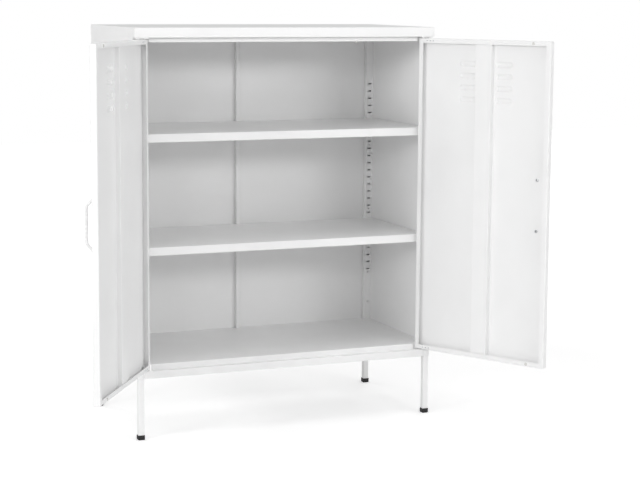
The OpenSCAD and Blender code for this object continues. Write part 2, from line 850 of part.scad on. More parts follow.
module left_door() { left_side() swung(left_open) door_panel(); }
module left_stiffener() { left_side() swung(left_open) stiffener(); }
module left_handle() { left_side() swung(left_open) handle(); }
module left_handle_screws() { left_side() swung(left_open) handle_screws(); }
module left_hinge_plates() { left_side() swung(left_open) hinge_plates(); }
module left_hinge_rivets() { left_side() swung(left_open) hinge_rivets(); }
module left_bushes() { left_side() swung(left_open) bushes(); }
module left_door_buffers() { left_side() swung(left_open) door_buffers(); }
module right_door() { swung(right_open) door_panel(); }
module right_stiffener() { swung(right_open) stiffener(); }
module right_handle() { swung(right_open) handle(); }
module right_handle_screws() { swung(right_open) handle_screws(); }
module right_hinge_plates() { swung(right_open) hinge_plates(); }
module right_hinge_rivets() { swung(right_open) hinge_rivets(); }
module right_bushes() { swung(right_open) bushes(); }
module right_door_buffers() { swung(right_open) door_buffers(); }

top_panel();
header_rail();
left_side_panel();
right_side_panel();
front_left_post();
front_right_post();
rear_left_post();
rear_right_post();
left_back_panel();
right_back_panel();
back_joint_strip();
floor_panel();
front_base_rail();
rear_base_rail();
upper_shelf();
lower_shelf();
upper_shelf_clips();
lower_shelf_clips();
front_left_socket();
front_right_socket();
rear_left_socket();
rear_right_socket();
front_left_leg();
front_right_leg();
rear_left_leg();
rear_right_leg();
front_left_foot();
front_right_foot();
rear_left_foot();
rear_right_foot();
leg_bolts();
leg_nuts();
post_screws();
top_left_bracket();
bottom_left_bracket();
top_right_bracket();
bottom_right_bracket();
bracket_screws();
pivot_pins();
header_buffer();
left_door();
left_stiffener();
left_handle();
left_handle_screws();
left_hinge_plates();
left_hinge_rivets();
left_bushes();
left_door_buffers();
right_door();
right_stiffener();
right_handle();
right_handle_screws();
right_hinge_plates();
right_hinge_rivets();
right_bushes();
right_door_buffers();
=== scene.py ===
import json
import math

import bmesh
import bpy
from mathutils import Matrix, Vector
from mathutils.bvhtree import BVHTree


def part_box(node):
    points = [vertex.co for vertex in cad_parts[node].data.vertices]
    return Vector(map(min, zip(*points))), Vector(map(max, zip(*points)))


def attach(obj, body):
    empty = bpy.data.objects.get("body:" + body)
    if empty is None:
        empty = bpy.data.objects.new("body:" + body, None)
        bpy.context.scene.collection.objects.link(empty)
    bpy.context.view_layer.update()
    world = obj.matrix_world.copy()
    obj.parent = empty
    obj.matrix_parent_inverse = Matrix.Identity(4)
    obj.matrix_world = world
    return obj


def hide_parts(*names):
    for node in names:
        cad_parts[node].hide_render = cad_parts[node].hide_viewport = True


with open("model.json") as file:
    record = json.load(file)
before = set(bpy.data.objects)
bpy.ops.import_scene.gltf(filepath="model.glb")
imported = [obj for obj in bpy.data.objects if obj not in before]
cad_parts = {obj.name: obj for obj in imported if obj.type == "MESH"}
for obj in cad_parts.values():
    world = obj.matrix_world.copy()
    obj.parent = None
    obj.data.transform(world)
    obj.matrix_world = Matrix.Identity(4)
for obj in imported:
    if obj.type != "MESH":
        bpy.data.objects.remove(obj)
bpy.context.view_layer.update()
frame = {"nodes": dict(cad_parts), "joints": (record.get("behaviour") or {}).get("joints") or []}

# ---- Feet ----
# Each leg stands in a cap of black nylon, moulded with a pocket that the end of the tube is pushed into.
# Its edges are rounded and its sole is stepped in, so that it slides on a floor without catching.
MM = 0.001
CORNERS = ("front_left", "front_right", "rear_left", "rear_right")


def corners(node):
    """The lowest and highest corner of a CAD node, in millimetres."""
    low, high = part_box(node)
    return low / MM, high / MM


def linear(colour):
    """The linear colour that a shader takes, from an sRGB hex value."""
    parts = [int(colour[i:i + 2], 16) / 255 for i in (0, 2, 4)]
    return [c / 12.92 if c < 0.04045 else ((c + 0.055) / 1.055) ** 2.4 for c in parts] + [1]


def add(tree, kind, settings=(), links=()):
    """Adds a node to a material or world, with its settings and the outputs that feed it."""
    node = tree.nodes.new(kind)
    for name, value in dict(settings).items():
        if name == "stops":
            for stop, (position, colour) in zip(node.color_ramp.elements, value):
                stop.position = position
                stop.color = linear(colour)
        elif isinstance(name, int) or name in node.inputs:
            node.inputs[name].default_value = value
        else:
            setattr(node, name, value)
    for name, output in dict(links).items():
        tree.links.new(output, node.inputs[name])
    return node


def block(bm, low, high):
    """A block between two corners."""
    size = Matrix.Diagonal((*(high - low), 1))
    bmesh.ops.create_cube(bm, size=1, matrix=Matrix.Translation((low + high) / 2) @ size)


def round_over(bm, edges, radius, segments=3):
    """Rounds edges to a radius."""
    bmesh.ops.bevel(bm, geom=edges, offset=radius, segments=segments, profile=0.5, affect="EDGES",
                    material=-1)


def sharp(bm, degrees=50):
    """The edges whose faces meet at more than an angle."""
    return [e for e in bm.edges if len(e.link_faces) == 2 and e.calc_face_angle() > math.radians(degrees)]


def upright(bm):
    """The edges that stand up."""
    return [e for e in bm.edges if abs(e.verts[0].co.z - e.verts[1].co.z) > 1]


def facing(bm, way):
    """The largest face that looks one way."""
    return max(bm.faces, key=lambda f: f.normal.dot(way) * f.calc_area())


def push(bm, face, inset, by):
    """Sets a face in from its own edges, then moves it into or out of the piece."""
    bmesh.ops.inset_region(bm, faces=[face], thickness=inset, use_even_offset=True)
    moved = bmesh.ops.extrude_discrete_faces(bm, faces=[face])["faces"][0]
    bmesh.ops.translate(bm, vec=by, verts=moved.verts)


def piece(name, bm, finish, body, slot, *nodes):
    """Makes a piece from a mesh in millimetres: it rides on a body and stands for its CAD nodes."""
    bmesh.ops.scale(bm, vec=Vector((MM, MM, MM)), verts=bm.verts)
    mesh = bpy.data.meshes.new(name)
    bm.to_mesh(mesh)
    bm.free()
    mesh.shade_smooth()
    mesh.set_sharp_from_angle(angle=math.radians(42))
    mesh.materials.append(finish)
    made = bpy.data.objects.new(name, mesh)
    bpy.context.scene.collection.objects.link(made)
    flat = made.modifiers.new("flat_faces_stay_flat", "WEIGHTED_NORMAL")
    flat.keep_sharp = True
    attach(made, body)
    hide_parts(*nodes)


def blank(name):
    """A new material and its empty node tree."""
    finish = bpy.data.materials.new(name)
    finish.use_nodes = True
    finish.node_tree.nodes.clear()
    return finish, finish.node_tree


# Glass-filled nylon from a spark-eroded mould: near black and dull, with a faint grey bloom
nylon, tree = blank("moulded_black_nylon")
place = add(tree, "ShaderNodeTexCoord")
# The mould's grain is about 0.1 mm across, too fine to show, so it is drawn at 0.8 mm
grain = add(tree, "ShaderNodeTexNoise", {"Scale": 1 / (0.8 * MM), "Detail": 3.0},
            {"Vector": place.outputs["Object"]})
bloom = add(tree, "ShaderNodeTexNoise", {"Scale": 1 / (9 * MM), "Detail": 2.0},
            {"Vector": place.outputs["Object"]})
tone = add(tree, "ShaderNodeValToRGB", {"stops": [(0.3, "151516"), (0.7, "232324")]},
           {"Fac": bloom.outputs["Fac"]})
dull = add(tree, "ShaderNodeMapRange", {"To Min": 0.48, "To Max": 0.66}, {"Value": grain.outputs["Fac"]})
relief = add(tree, "ShaderNodeBump", {"Strength": 0.5, "Distance": 0.04 * MM},
             {"Height": grain.outputs["Fac"]})
skin = add(tree, "ShaderNodeBsdfPrincipled", {"IOR": 1.53},
           {"Base Color": tone.outputs["Color"], "Roughness": dull.outputs["Result"],
            "Normal": relief.outputs["Normal"]})
add(tree, "ShaderNodeOutputMaterial", {}, {"Surface": skin.outputs["BSDF"]})

sole_step = 1.5
sole_in = 1.0
cap_wall = 1.1
cap_floor = 4.0
cap_corner_r = 1.8
cap_edge_r = 0.3
for corner in CORNERS:
    low, high = corners(corner + "_foot")
    bm = bmesh.new()
    block(bm, low + Vector((0, 0, sole_step)), high)
    round_over(bm, upright(bm), cap_corner_r, 4)
    push(bm, facing(bm, Vector((0, 0, -1))), sole_in, Vector((0, 0, -sole_step)))
    push(bm, facing(bm, Vector((0, 0, 1))), cap_wall, Vector((0, 0, cap_floor - high.z)))
    round_over(bm, sharp(bm), cap_edge_r, 2)
    piece(corner + "_foot_cap", bm, nylon, "cabinet", "black_plastic", corner + "_foot")

# ---- Legs ----
# Four lengths of welded square steel tube, 15 mm across with a 1.2 mm wall and rounded corners.
# They are powder coated white like the body, and each is pushed up into a socket under it.


def square_tube(low, high, wall, corner_radius):
    """A square tube that stands between two corners."""
    bm = bmesh.new()
    block(bm, low, high)
    round_over(bm, upright(bm), corner_radius, 5)
    bmesh.ops.delete(bm, geom=[f for f in bm.faces if abs(f.normal.z) > 0.9], context="FACES_ONLY")
    bmesh.ops.solidify(bm, geom=bm.faces[:], thickness=wall)
    return bm


# Polyester powder coat, sprayed and baked on steel: a soft, even white, satin, with a faint orange peel
enamel, tree = blank("satin_white_powder_coat")
place = add(tree, "ShaderNodeTexCoord")
# The peel's real ripples are 1 to 2 mm apart, too fine to show, so they are drawn 4 mm apart
peel = add(tree, "ShaderNodeTexNoise", {"Scale": 1 / (4 * MM), "Detail": 2.0},
           {"Vector": place.outputs["Object"]})
# Rolled sheet is never quite flat: it has slow waves a hand's breadth across and 0.06 mm high
waves = add(tree, "ShaderNodeTexNoise", {"Scale": 1 / (90 * MM), "Detail": 1.0},
            {"Vector": place.outputs["Object"]})
tone = add(tree, "ShaderNodeValToRGB", {"stops": [(0.3, "f7f7f7"), (0.7, "fafafa")]},
           {"Fac": waves.outputs["Fac"]})
gloss = add(tree, "ShaderNodeMapRange", {"To Min": 0.31, "To Max": 0.39}, {"Value": peel.outputs["Fac"]})
dents = add(tree, "ShaderNodeBump", {"Strength": 1.0, "Distance": 0.06 * MM},
            {"Height": waves.outputs["Fac"]})
relief = add(tree, "ShaderNodeBump", {"Strength": 0.35, "Distance": 0.02 * MM},
             {"Height": peel.outputs["Fac"], "Normal": dents.outputs["Normal"]})
skin = add(tree, "ShaderNodeBsdfPrincipled", {"IOR": 1.5},
           {"Base Color": tone.outputs["Color"], "Roughness": gloss.outputs["Result"],
            "Normal": relief.outputs["Normal"]})
add(tree, "ShaderNodeOutputMaterial", {}, {"Surface": skin.outputs["BSDF"]})

leg_wall = 1.2
leg_corner_r = 2.0
for corner in CORNERS:
    bm = square_tube(*corners(corner + "_leg"), leg_wall, leg_corner_r)
    piece(corner + "_leg_tube", bm, enamel, "cabinet", "white_enamel", corner + "_leg")

# ---- Sockets ----
# A short sleeve of the next larger square tube is welded under each corner of the body.
# It is coated together with the body, and a leg slides up inside it with a little play.
sleeve_wall = 1.0
sleeve_corner_r = 2.6
for corner in CORNERS:
    bm = square_tube(*corners(corner + "_socket"), sleeve_wall, sleeve_corner_r)
    piece(corner + "_socket_sleeve", bm, enamel, "cabinet", "white_enamel", corner + "_socket")

# ---- Leg bolts and nuts ----
# One domed bolt with a hexagon socket goes through each sleeve and leg, its head outside and painted
# white. A plain zinc-plated nut holds it against the sleeve's inner side.
UP = Vector((0, 0, 1))
FRONT = Matrix.Rotation(math.radians(90), 4, "X")
BACK = Matrix.Rotation(math.radians(-90), 4, "X")
OVER = Matrix.Rotation(math.pi, 4, "X")


def merged(node):
    """A copy of a CAD node in millimetres, its loose triangles joined into whole faces."""
    bm = bmesh.new()
    bm.from_mesh(frame["nodes"][node].data)
    bmesh.ops.scale(bm, vec=Vector((1, 1, 1)) / MM, verts=bm.verts)
    bmesh.ops.remove_doubles(bm, verts=bm.verts, dist=0.002)
    bmesh.ops.dissolve_limit(bm, angle_limit=math.radians(1), verts=bm.verts, edges=bm.edges)
    return bm


def eased(node, radius):
    """A copy of a CAD node with its sharp edges eased."""
    bm = merged(node)
    round_over(bm, sharp(bm), radius, 2)
    return bm


def put(bm, part, place):
    """Adds a copy of a part to a piece, at a place."""
    mesh = bpy.data.meshes.new("part")
    part.to_mesh(mesh)
    mesh.transform(place)
    if place.determinant() < 0:
        mesh.flip_normals()
    bm.from_mesh(mesh)
    bpy.data.meshes.remove(mesh)


def rod(bm, d, low_z, high_z, chamfer):
    """A round rod along Z with its upper edge chamfered."""
    middle = Matrix.Translation((0, 0, (low_z + high_z) / 2))
    made = bmesh.ops.create_cone(bm, cap_ends=True, segments=24, radius1=d / 2, radius2=d / 2,
                                 depth=high_z - low_z, matrix=middle)["verts"]
    rim = [e for e in bm.edges if all(v in made and v.co.z > high_z - 0.001 for v in e.verts)]
    round_over(bm, rim, chamfer, 3)


def sink(head, outline, depth):
    """Sinks a recess into the flat top of a screw's head. Outline draws the recess at that height."""
    top = facing(head, UP)
    rim = top.edges[:]
    level = Matrix.Translation((0, 0, top.verts[0].co.z))
    bmesh.ops.delete(head, geom=[top], context="FACES_ONLY")
    before = set(head.faces)
    outline(head, level)
    recess = [f for f in head.faces if f not in before]
    border = [e for e in head.edges if len(e.link_faces) == 1 and e.link_faces[0] in recess]
    bmesh.ops.triangle_fill(head, edges=rim + border, use_beauty=True, normal=UP)
    sunk = bmesh.ops.extrude_face_region(head, geom=recess)["geom"]
    bottom = [v for v in sunk if isinstance(v, bmesh.types.BMVert)]
    bmesh.ops.translate(head, vec=(0, 0, -depth), verts=bottom)
    bmesh.ops.recalc_face_normals(head, faces=head.faces)


def hexagon(head, level):
    """The outline of a 4 mm hexagon socket."""
    bmesh.ops.create_circle(head, cap_ends=True, segments=6, radius=4 / math.sqrt(3), matrix=level)


bolt_head_d = 13.0
bolt_head_h = 2.6
bolt_d = 6.0
socket_depth = 1.6
socket_flat_z = 2.25
nut_h = 4.0
tip_chamfer = 0.5
ball = (bolt_head_d ** 2 / 4 + bolt_head_h ** 2) / (2 * bolt_head_h)
bolt = bmesh.new()
bmesh.ops.create_uvsphere(bolt, u_segments=32, v_segments=64, radius=ball,
                          matrix=Matrix.Translation((0, 0, bolt_head_h - ball)))
for z, below, above in ((0, True, False), (socket_flat_z, False, True)):
    bmesh.ops.bisect_plane(bolt, geom=bolt.verts[:] + bolt.edges[:] + bolt.faces[:], plane_co=(0, 0, z),
                           plane_no=UP, clear_inner=below, clear_outer=above)
bmesh.ops.holes_fill(bolt, edges=bolt.edges)
bmesh.ops.recalc_face_normals(bolt, faces=bolt.faces)
sink(bolt, hexagon, socket_depth)
shank = bmesh.new()
sleeve_low, sleeve_high = corners("front_left_socket")
nut_low, nut_high = corners("leg_nuts")
rod(shank, bolt_d, 0, sleeve_high.y - sleeve_low.y + nut_h, tip_chamfer)
put(bolt, shank, OVER)

bm = bmesh.new()
for corner in CORNERS:
    low, high = corners(corner + "_socket")
    turn, y = (FRONT, low.y) if corner.startswith("front") else (BACK, high.y)
    put(bm, bolt, Matrix.Translation(((low.x + high.x) / 2, y, (nut_low.z + nut_high.z) / 2)) @ turn)
piece("leg_bolts_domed", bm, enamel, "cabinet", "white_enamel", "leg_bolts")

# Bright zinc plate, passivated clear: a cool silver, a little cloudy, with soft grey patches
zinc, tree = blank("bright_zinc_plate")
place = add(tree, "ShaderNodeTexCoord")
cloud = add(tree, "ShaderNodeTexNoise", {"Scale": 1 / (3 * MM), "Detail": 3.0},
            {"Vector": place.outputs["Object"]})
# The plating's crystals are far too fine to show, so the rolled steel's marks under it are drawn instead,
# at 0.6 mm
marks = add(tree, "ShaderNodeTexNoise", {"Scale": 1 / (0.6 * MM), "Detail": 2.0},
            {"Vector": place.outputs["Object"]})
tone = add(tree, "ShaderNodeValToRGB", {"stops": [(0.35, "cfd1d4"), (0.65, "e4e5e6")]},
           {"Fac": cloud.outputs["Fac"]})
dull = add(tree, "ShaderNodeMapRange", {"To Min": 0.26, "To Max": 0.42}, {"Value": cloud.outputs["Fac"]})
relief = add(tree, "ShaderNodeBump", {"Strength": 0.3, "Distance": 0.02 * MM},
             {"Height": marks.outputs["Fac"]})
skin = add(tree, "ShaderNodeBsdfPrincipled", {"Metallic": 1.0},
           {"Base Color": tone.outputs["Color"], "Roughness": dull.outputs["Result"],
            "Normal": relief.outputs["Normal"]})
add(tree, "ShaderNodeOutputMaterial", {}, {"Surface": skin.outputs["BSDF"]})

nut_edge_r = 0.35
piece("leg_nuts_plated", eased("leg_nuts", nut_edge_r), zinc, "cabinet", "zinc_plate", "leg_nuts")

# ---- Base rails ----
# A band of 0.8 mm steel sheet, folded top and bottom, is welded between the sockets at front and back.
# The front rail shows as the white band under the doors.
SHEET = 0.8
FOLD = 1.6


def bent(node, bend, sheet):
    """A copy of a folded sheet node with its folds rounded. The bend is the radius outside them."""
    shortest_fold = 3
    touching = 0.05
    # Both faces of a fold reach further from it than this, and the sheet's cut edge doesn't
    reach = sheet + 1.2
    bm = merged(node)
    for outside, radius in ((True, bend), (False, bend - sheet)):
        surface = BVHTree.FromBMesh(bm)
        inward = {e: [l.vert.co + l.edge.calc_length() / 2 * way + l.face.normal.cross(way) * reach
                      for l in e.link_loops
                      for way in [(l.link_loop_next.vert.co - l.vert.co).normalized()]]
                  for e in sharp(bm, 60) if e.is_convex == outside and e.calc_length() > shortest_fold}
        folds = [e for e, points in inward.items()
                 if all(surface.find_nearest(p)[3] < touching for p in points)]
        round_over(bm, folds, radius, 4)
    return bm


for node in ("front_base_rail", "rear_base_rail"):
    piece(node + "_folded", bent(node, FOLD, SHEET), enamel, "cabinet", "white_enamel", node)

# ---- Floor panel ----
# The floor of the cabinet is one sheet with a lip folded down at the front and at the sides.
# It is notched round the posts and rests on the base rails, spot-welded to them.
piece("floor_panel_folded", bent("floor_panel", FOLD, SHEET), enamel, "cabinet", "white_enamel",
      "floor_panel")

# ---- Side panels ----
# Each side is one flat sheet with its rear edge folded in behind the cabinet.
# It hangs a little below the floor panel.
for node in ("left_side_panel", "right_side_panel"):
    piece(node + "_folded", bent(node, FOLD, SHEET), enamel, "cabinet", "white_enamel", node)

# ---- Posts ----
# A channel of 1.2 mm steel stands in each corner, punched with a row of slots for the shelf clips.
# Its round holes locate it in the welding jig, and it is coated with the body.
post_sheet = 1.2
post_bend = 2.0
for corner in CORNERS:
    piece(corner + "_post_punched", bent(corner + "_post", post_bend, post_sheet), enamel, "cabinet",
          "white_enamel", corner + "_post")

# ---- Back panels and their joint ----
# Two sheets close the back. Their inner edges are turned up and meet in the middle, where a narrow
# channel covers the seam inside, and their outer edges are turned back against the side panels.
back_bend = 1.4
channel_sheet = 1.0
channel_bend = 1.8
for node in ("left_back_panel", "right_back_panel"):
    piece(node + "_folded", bent(node, back_bend, SHEET), enamel, "cabinet", "white_enamel", node)
piece("back_joint_channel", bent("back_joint_strip", channel_bend, channel_sheet), enamel, "cabinet",
      "white_enamel", "back_joint_strip")

# ---- Top panel ----
# A shallow tray turned upside down, folded from 0.8 mm sheet with welded and ground corners.
# It drops over the sides and back, and its front edge is the white band above the doors.
tray_bend = 2.0
piece("top_panel_folded", bent("top_panel", tray_bend, SHEET), enamel, "cabinet", "white_enamel",
      "top_panel")

# ---- Header rail and its buffer ----
# A folded strip behind the doors' upper edges stiffens the opening, and the closed doors stop against it.
# One small dome of clear polyurethane is stuck under it.
piece("header_rail_folded", bent("header_rail", FOLD, SHEET), enamel, "cabinet", "white_enamel",
      "header_rail")

# Soft polyurethane, cast in drops: milky and hardly clear, so it looks only a little warmer than the
# white paint behind it
pad, tree = blank("cast_clear_polyurethane")
place = add(tree, "ShaderNodeTexCoord")
haze = add(tree, "ShaderNodeTexNoise", {"Scale": 1 / (2.5 * MM), "Detail": 2.0},
           {"Vector": place.outputs["Object"]})
tone = add(tree, "ShaderNodeValToRGB", {"stops": [(0.3, "eeede9"), (0.7, "f5f4f1")]},
           {"Fac": haze.outputs["Fac"]})
tack = add(tree, "ShaderNodeMapRange", {"To Min": 0.16, "To Max": 0.3}, {"Value": haze.outputs["Fac"]})
skin = add(tree, "ShaderNodeBsdfPrincipled", {"IOR": 1.5, "Transmission Weight": 0.2},
           {"Base Color": tone.outputs["Color"], "Roughness": tack.outputs["Result"]})
add(tree, "ShaderNodeOutputMaterial", {}, {"Surface": skin.outputs["BSDF"]})


def drop(bm, d, h, place):
    """A cast drop with a flat underside, standing on a place."""
    part = bmesh.new()
    bmesh.ops.create_cone(part, cap_ends=True, segments=32, radius1=d / 2, radius2=d / 2, depth=h,
                          matrix=Matrix.Translation((0, 0, h / 2)))
    round_over(part, [e for e in part.edges if all(v.co.z > h / 2 for v in e.verts)], 0.8 * h, 4)
    put(bm, part, place)


low, high = corners("header_buffer")
bm = bmesh.new()
drop(bm, high.x - low.x, high.z - low.z,
     Matrix.Translation(((low.x + high.x) / 2, (low.y + high.y) / 2, high.z)) @ OVER)
piece("header_buffer_drop", bm, pad, "cabinet", "clear_pad", "header_buffer")

# ---- Shelves and clips ----
# Each shelf is a tray of 0.8 mm sheet, its four edges folded down and hemmed in at the front and the
# back. It is notched round the front posts and lies on four plated clips, hooked into the posts' slots.
shelf_bend = 2.0
clip_edge_r = 0.3
for name in ("upper", "lower"):
    piece(name + "_shelf_folded", bent(name + "_shelf", shelf_bend, SHEET), enamel, "cabinet",
          "white_enamel", name + "_shelf")
    piece(name + "_shelf_clips_plated", eased(name + "_shelf_clips", clip_edge_r), zinc, "cabinet",
          "zinc_plate", name + "_shelf_clips")

# ---- Brackets, screws and pivot pins of the body ----
# Four pressed steel brackets carry the doors. Each is held to its front post with pan-head screws, and
# its plate holds a 6 mm plated steel pin on which the door turns.
PLATE = 2.0
PLATE_BEND = 2.6
for node in ("top_left_bracket", "bottom_left_bracket", "top_right_bracket", "bottom_right_bracket"):
    piece(node + "_pressed", bent(node, PLATE_BEND, PLATE), enamel, "cabinet", "white_enamel", node)


def cross(head, level):
    """The outline of a cross recess, 3.6 mm across."""
    half = 1.8
    made = bmesh.ops.create_grid(head, x_segments=3, y_segments=3, size=half, matrix=level)["verts"]
    squares = [f for f in head.faces if all(v in made for v in f.verts)]
    edge_squares = [f for f in squares if min(abs(c) for c in f.calc_center_median().xy) > half / 3]
    bmesh.ops.delete(head, geom=edge_squares, context="FACES")


def pan_screw(d, h, thread_d, thread_l):
    """A pan-head screw with a cross recess, its head standing up from the ground plane."""
    screw = bmesh.new()
    bmesh.ops.create_cone(screw, cap_ends=True, segments=32, radius1=d / 2, radius2=d / 2, depth=h,
                          matrix=Matrix.Translation((0, 0, h / 2)))
    round_over(screw, [e for e in screw.edges if all(v.co.z > h / 2 for v in e.verts)], 0.5 * h, 4)
    sink(screw, cross, 0.6 * h)
    shank = bmesh.new()
    rod(shank, thread_d, 0, thread_l, tip_chamfer)
    put(screw, shank, OVER)
    shank.free()
    return screw


M4 = 4.0
bracket_head_d = 7.0
bracket_head_h = 1.8
bracket_screw_l = 8.0
low_screw_up = 8.0
high_screws_up = (4.0, 14.0)
low, high = corners("bracket_screws")
screw = pan_screw(bracket_head_d, bracket_head_h, M4, bracket_screw_l)
top_low = corners("top_panel")[0].z
rail_low = corners("front_base_rail")[0].z
bm = bmesh.new()
for x in (low.x + bracket_head_d / 2, high.x - bracket_head_d / 2):
    for z in (rail_low + low_screw_up, *(top_low + up for up in high_screws_up)):
        put(bm, screw, Matrix.Translation((x, low.y + bracket_head_h, z)) @ FRONT)
piece("bracket_screws_plated", bm, zinc, "cabinet", "zinc_plate", "bracket_screws")

post_head_d = 8.0
post_head_h = 2.4
low, high = corners("post_screws")
screw = pan_screw(post_head_d, post_head_h, M4, high.y - low.y - post_head_h)
bm = bmesh.new()
for x in (low.x + post_head_d / 2, high.x - post_head_d / 2):
    put(bm, screw, Matrix.Translation((x, low.y + post_head_h, (low.z + high.z) / 2)) @ FRONT)
piece("post_screws_painted", bm, enamel, "cabinet", "white_enamel", "post_screws")

pin_d = 6.0
pin_l = 14.7
pin_chamfer = 0.8
low, high = corners("pivot_pins")
pin = bmesh.new()
rod(pin, pin_d, 0, pin_l, pin_chamfer)
bm = bmesh.new()
for x in (low.x + pin_d / 2, high.x - pin_d / 2):
    put(bm, pin, Matrix.Translation((x, (low.y + high.y) / 2, low.z)))
    put(bm, pin, Matrix.Translation((x, (low.y + high.y) / 2, high.z)) @ OVER)
piece("pivot_pins_plated", bm, zinc, "cabinet", "zinc_plate", "pivot_pins")

# ---- Doors ----
# Each door is a pan folded from 0.9 mm sheet: its edges turn back 16 mm and then in, which leaves a rim
# round the inside. Two columns of louvres are pressed out near its top, with their mouths towards the
# door's middle.
OUTWARD = Vector((0, -1, 0))
INWARD = Vector((0, 1, 0))
# A door's parts are drawn on the shut right door. A swing opens it, and for the left door mirrors it too
swings = {}
for hinge in frame["joints"]:
    pin_at = Vector((abs(hinge["pos_m"][0]), hinge["pos_m"][1], 0)) / MM
    standing_open = Matrix.Rotation(math.radians(-hinge["range_deg"][0]), 4, "Z")
    swing = Matrix.Translation(pin_at) @ standing_open @ Matrix.Translation(-pin_at)
    if hinge["child"] == "left_door":
        swing = Matrix.Scale(-1, 4, Vector((1, 0, 0))) @ swing
    swings[hinge["child"]] = swing


def shut(node):
    """The lowest and highest corner of a part of the right door, with that door shut, in millimetres."""
    closing = swings["right_door"].inverted()
    points = [closing @ (v.co / MM) for v in frame["nodes"]["right_" + node].data.vertices]
    return [Vector([pick(p[i] for p in points) for i in range(3)]) for pick in (min, max)]


def hang(name, bm, finish, slot, node):
    """Puts a part drawn on the shut right door on both doors, where they stand open."""
    for body, swing in swings.items():
        side = body[:-len("door")]
        made = bmesh.new()
        put(made, bm, swing)
        piece(side + name, made, finish, body, slot, side + node)
    bm.free()


def drawn_out(bm, edges, by):
    """Draws edges out into a strip of faces, and returns the strip's far edges."""
    made = bmesh.ops.extrude_edge_only(bm, edges=edges)["geom"]
    bmesh.ops.translate(bm, vec=by, verts=[v for v in made if isinstance(v, bmesh.types.BMVert)])
    return [e for e in made if isinstance(e, bmesh.types.BMEdge)]


door_front = corners("top_panel")[0].y
door_low, door_high = shut("door")
door_sheet = 0.9
door_bend = 2.4
side_rim = 13.0
end_rim = 12.0
louvre_rows = 4
louvre_pitch = 30.0
louvre_from_top = 62.0
louvre_l = 47.0
louvre_r = 8.0
louvre_rise = 5.0
louvre_mouth = 33.0
louvre_root = 1.2
# The pin's hole is as wide as the flat between the folds allows, and the bush's flange hides its rim
pin_clear_r = 3.4

# The form is a bar's round back that stands out of the sheet. The sheet's face is at Y = -axis_depth
axis_depth = louvre_r - louvre_rise
straight = louvre_l - louvre_r
root_out = math.sqrt((louvre_r + louvre_root) ** 2 - (axis_depth + louvre_root) ** 2)
lean = math.atan2(root_out, axis_depth + louvre_root)
back = [Vector((0, -math.cos(t), math.sin(t))) * louvre_r for t in (lean * i / 6 for i in range(7))]
root_centre = Vector((0, -axis_depth - louvre_root, root_out))
root = [root_centre + Vector((0, math.cos(t), -math.sin(t))) * louvre_root
        for t in (lean * i / 3 for i in (2, 1, 0))]
louvre = bmesh.new()
line = [louvre.verts.new(p) for p in back + root]
for start, end in zip(line, line[1:]):
    louvre.edges.new((start, end))
bmesh.ops.spin(louvre, geom=louvre.verts[:] + louvre.edges[:], cent=(0, 0, 0), axis=(0, 1, 0),
               angle=math.pi, steps=12)
bmesh.ops.remove_doubles(louvre, verts=louvre.verts, dist=0.001)
arch = [e for e in louvre.edges if all(abs(v.co.x) < 0.001 for v in e.verts)]
drawn_out(louvre, arch, Vector((-straight, 0, 0)))
ends = [v for v in louvre.verts if abs(v.co.x + straight) < 0.001 and abs(v.co.y + axis_depth) < 0.001]
bmesh.ops.contextual_create(louvre, geom=ends)

bm = bmesh.new()
block(bm, Vector((door_low.x, door_front, door_low.z)), door_high)
round_over(bm, bm.edges[:], door_bend, 4)
inside = facing(bm, INWARD)
rim = inside.edges[:]
bmesh.ops.delete(bm, geom=[inside], context="FACES_ONLY")
door_half = (door_high - door_low) / 2
door_middle = (door_high + door_low) / 2
rim = drawn_out(bm, rim, Vector())
bmesh.ops.scale(bm, vec=Vector(((door_half.x - side_rim) / (door_half.x - door_bend), 1,
                                (door_half.z - end_rim) / (door_half.z - door_bend))),
                space=Matrix.Translation(-door_middle), verts=list({v for e in rim for v in e.verts}))
bmesh.ops.delete(bm, geom=[facing(bm, OUTWARD)], context="FACES_ONLY")
for row in range(louvre_rows):
    for way in (1, -1):
        at = Vector((door_middle.x + way * (louvre_mouth + straight), door_front + axis_depth,
                     door_high.z - louvre_from_top - row * louvre_pitch))
        put(bm, louvre, Matrix.Translation(at) @ Matrix.Scale(way, 4, Vector((1, 0, 0))))
flat = [e for e in bm.edges
        if len(e.link_faces) < 2 and all(abs(v.co.y - door_front) < 0.01 for v in e.verts)]
bmesh.ops.triangle_fill(bm, edges=flat, use_beauty=True, normal=OUTWARD)
for way in (1, -1):
    end = facing(bm, Vector((0, 0, way)))
    around = end.edges[:]
    at = Matrix.Translation((pin_at.x, pin_at.y, end.verts[0].co.z))
    bmesh.ops.delete(bm, geom=[end], context="FACES_ONLY")
    bore = bmesh.ops.create_circle(bm, segments=24, radius=pin_clear_r, matrix=at)["verts"]
    around += [e for e in bm.edges if all(v in bore for v in e.verts)]
    bmesh.ops.triangle_fill(bm, edges=around, use_beauty=True, normal=Vector((0, 0, way)))
bmesh.ops.recalc_face_normals(bm, faces=bm.faces)
if facing(bm, OUTWARD).calc_area() < facing(bm, INWARD).calc_area():
    bmesh.ops.reverse_faces(bm, faces=bm.faces)
bmesh.ops.solidify(bm, geom=bm.faces[:], thickness=door_sheet)
hang("door_pan", bm, enamel, "white_enamel", "door")

